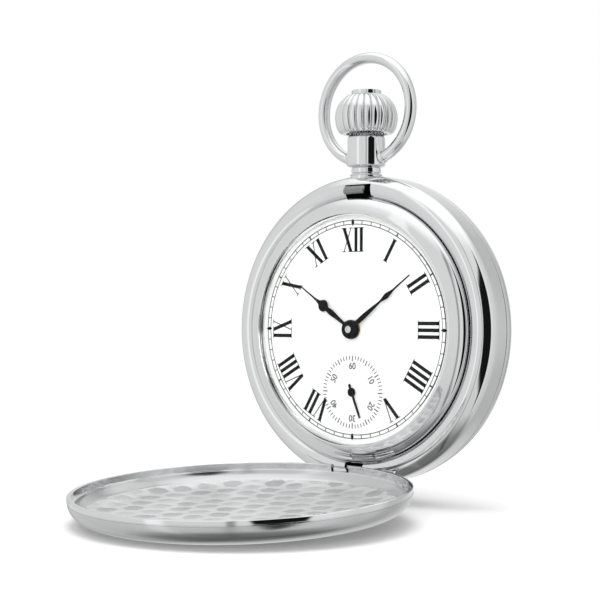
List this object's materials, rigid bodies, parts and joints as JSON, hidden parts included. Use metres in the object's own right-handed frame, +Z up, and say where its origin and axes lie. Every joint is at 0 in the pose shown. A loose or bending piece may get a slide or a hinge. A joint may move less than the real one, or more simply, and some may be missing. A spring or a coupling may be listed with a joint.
{
  "type": "hunter-cased pocket watch",
  "caption": "Polished hunter-cased pocket watch standing upright with its front lid hinged open, showing a white Roman-numeral dial with small seconds, onion crown and bow.",
  "frame": {"origin": "centre of the bounding box on the ground, under the watch and its open lid", "axes": "+Z up through the crown and 12 o'clock, +X to 3 o'clock, -Y the way the dial faces and the lid opens"},
  "size_m": [0.0498, 0.0634, 0.0728],
  "materials": {
    "chrome": "mirror polished",
    "steel": "fine ground",
    "nickel": "matte nickel plate",
    "brass": "gilt",
    "blued_steel": "heat blued",
    "black": "gloss",
    "dial_white": "satin white with printed markings",
    "crystal": "clear"
  },
  "bodies": {
    "case": {"case_middle": "chrome", "bezel": "chrome", "crystal": "crystal", "dial_ring": "chrome", "dial": "dial_white", "pendant": "chrome", "hinge_pin": "steel", "lift_spring": "blued_steel", "movement_ring": "nickel", "main_plate": "nickel", "barrel_bridge": "nickel", "train_bridge": "nickel", "balance_cock": "nickel", "pallet_bridge": "nickel", "barrel_bridge_screw_left": "blued_steel", "barrel_bridge_screw_right": "blued_steel", "train_bridge_screw_right": "blued_steel", "train_bridge_screw_left": "blued_steel", "balance_cock_screw": "blued_steel", "crown_wheel_screw": "blued_steel", "click_spring": "steel", "yoke": "steel", "hairspring": "blued_steel", "mainspring": "steel"},
    "back_cover": {"back_cover": "chrome"},
    "front_lid": {"front_lid": "chrome"},
    "bow": {"bow": "chrome"},
    "stem_sleeve": {"release_sleeve": "steel", "stem_collar": "steel"},
    "crown": {"crown": "chrome", "crown_cap": "chrome", "winding_stem": "steel"},
    "catch": {"catch_spring": "steel"},
    "winding_pinion": {"winding_pinion": "steel"},
    "sliding_pinion": {"sliding_pinion": "steel"},
    "crown_wheel": {"crown_wheel": "steel"},
    "ratchet": {"ratchet_wheel": "steel", "ratchet_screw": "blued_steel", "barrel_arbor": "steel"},
    "click": {"click": "steel"},
    "setting_lever": {"setting_lever": "steel"},
    "regulator": {"regulator": "steel"},
    "barrel": {"barrel": "brass"},
    "centre": {"centre_wheel": "brass", "cannon_pinion": "steel", "minute_hand": "black"},
    "hour": {"hour_wheel": "brass", "hour_hand": "black"},
    "minute_wheel": {"minute_wheel": "brass"},
    "third": {"third_wheel": "brass"},
    "fourth": {"fourth_wheel": "brass", "seconds_hand": "black"},
    "escape": {"escape_wheel": "steel"},
    "pallet": {"pallet_fork": "steel"},
    "balance": {"balance_wheel": "brass"}
  },
  "joints": [
    {"name": "lid_hinge", "type": "hinge", "parent": "case", "child": "front_lid", "pos_m": [0, 0.01818, 0.00283], "axis": [-1, 0, 0], "range_deg": [0, 92.7]},
    {"name": "back_cover_off", "type": "slide", "parent": "case", "child": "back_cover", "axis": [0, 1, 0], "range_m": [0, 0.01]},
    {"name": "bow_swivel", "type": "hinge", "parent": "case", "child": "bow", "pos_m": [0, 0.02428, 0.05573], "axis": [1, 0, 0], "range_deg": [-90, 90]},
    {"name": "crown_pull", "type": "slide", "parent": "case", "child": "stem_sleeve", "axis": [0, 0, 1], "range_m": [-0.0006, 0.001]},
    {"name": "crown_turn", "type": "hinge", "parent": "stem_sleeve", "child": "crown", "pos_m": [0, 0.02428, 0.06273], "axis": [0, 0, 1], "continuous": true},
    {"name": "catch_press", "type": "slide", "parent": "case", "child": "catch", "axis": [0, 0, 1], "range_m": [-0.0004, 0], "stiffness_N_per_m": 60},
    {"name": "winding_pinion_turn", "type": "hinge", "parent": "case", "child": "winding_pinion", "pos_m": [0, 0.02428, 0.04403], "axis": [0, 0, 1], "continuous": true},
    {"name": "sliding_pinion_turn", "type": "hinge", "parent": "case", "child": "sliding_pinion", "pos_m": [0, 0.02428, 0.04243], "axis": [0, 0, 1], "continuous": true},
    {"name": "crown_wheel_turn", "type": "hinge", "parent": "case", "child": "crown_wheel", "pos_m": [-0.0002, 0.02568, 0.03943], "axis": [0, 1, 0], "continuous": true},
    {"name": "ratchet_turn", "type": "hinge", "parent": "case", "child": "ratchet", "pos_m": [0.0054, 0.02568, 0.03493], "axis": [0, 1, 0], "continuous": true},
    {"name": "click_rock", "type": "hinge", "parent": "case", "child": "click", "pos_m": [0.0109, 0.02568, 0.03723], "axis": [0, 1, 0], "range_deg": [0, 6], "stiffness_Nm_per_rad": 0.0001},
    {"name": "setting_lever_rock", "type": "hinge", "parent": "case", "child": "setting_lever", "pos_m": [-0.004, 0.02568, 0.04193], "axis": [0, 1, 0], "range_deg": [-2, 3]},
    {"name": "regulator_turn", "type": "hinge", "parent": "case", "child": "regulator", "pos_m": [-0.0102, 0.02568, 0.02213], "axis": [0, 1, 0], "range_deg": [-12, 12]},
    {"name": "barrel_turn", "type": "hinge", "parent": "case", "child": "barrel", "pos_m": [0.0054, 0.02568, 0.03493], "axis": [0, 1, 0], "continuous": true},
    {"name": "centre_turn", "type": "hinge", "parent": "case", "child": "centre", "pos_m": [0, 0.02568, 0.02773], "axis": [0, 1, 0], "continuous": true},
    {"name": "hour_turn", "type": "hinge", "parent": "case", "child": "hour", "pos_m": [0, 0.02568, 0.02773], "axis": [0, 1, 0], "continuous": true},
    {"name": "minute_wheel_turn", "type": "hinge", "parent": "case", "child": "minute_wheel", "pos_m": [-0.0022, 0.02568, 0.02993], "axis": [0, 1, 0], "continuous": true},
    {"name": "third_turn", "type": "hinge", "parent": "case", "child": "third", "pos_m": [0.0056, 0.02568, 0.02253], "axis": [0, 1, 0], "continuous": true},
    {"name": "seconds_turn", "type": "hinge", "parent": "case", "child": "fourth", "pos_m": [0, 0.02568, 0.01766], "axis": [0, 1, 0], "continuous": true},
    {"name": "escape_turn", "type": "hinge", "parent": "case", "child": "escape", "pos_m": [-0.0053, 0.02568, 0.01623], "axis": [0, 1, 0], "continuous": true},
    {"name": "pallet_rock", "type": "hinge", "parent": "case", "child": "pallet", "pos_m": [-0.0079, 0.02568, 0.01813], "axis": [0, 1, 0], "range_deg": [-3, 3]},
    {"name": "balance_swing", "type": "hinge", "parent": "case", "child": "balance", "pos_m": [-0.0102, 0.02568, 0.02213], "axis": [0, 1, 0], "range_deg": [-270, 270], "stiffness_Nm_per_rad": 0.0000017}
  ],
  "couplings": [
    {"joint": "centre_turn", "follows": "seconds_turn", "ratio": 0.016667},
    {"joint": "hour_turn", "follows": "seconds_turn", "ratio": 0.0013889},
    {"joint": "minute_wheel_turn", "follows": "seconds_turn", "ratio": -0.0055556},
    {"joint": "third_turn", "follows": "seconds_turn", "ratio": -0.13333},
    {"joint": "barrel_turn", "follows": "seconds_turn", "ratio": -0.0020833},
    {"joint": "escape_turn", "follows": "seconds_turn", "ratio": -10},
    {"joint": "winding_pinion_turn", "follows": "crown_turn", "ratio": 1},
    {"joint": "sliding_pinion_turn", "follows": "crown_turn", "ratio": 1},
    {"joint": "crown_wheel_turn", "follows": "crown_turn", "ratio": 0.6},
    {"joint": "ratchet_turn", "follows": "crown_turn", "ratio": -0.4},
    {"joint": "setting_lever_rock", "follows": "crown_pull", "rad_per_m": 50}
  ]
}
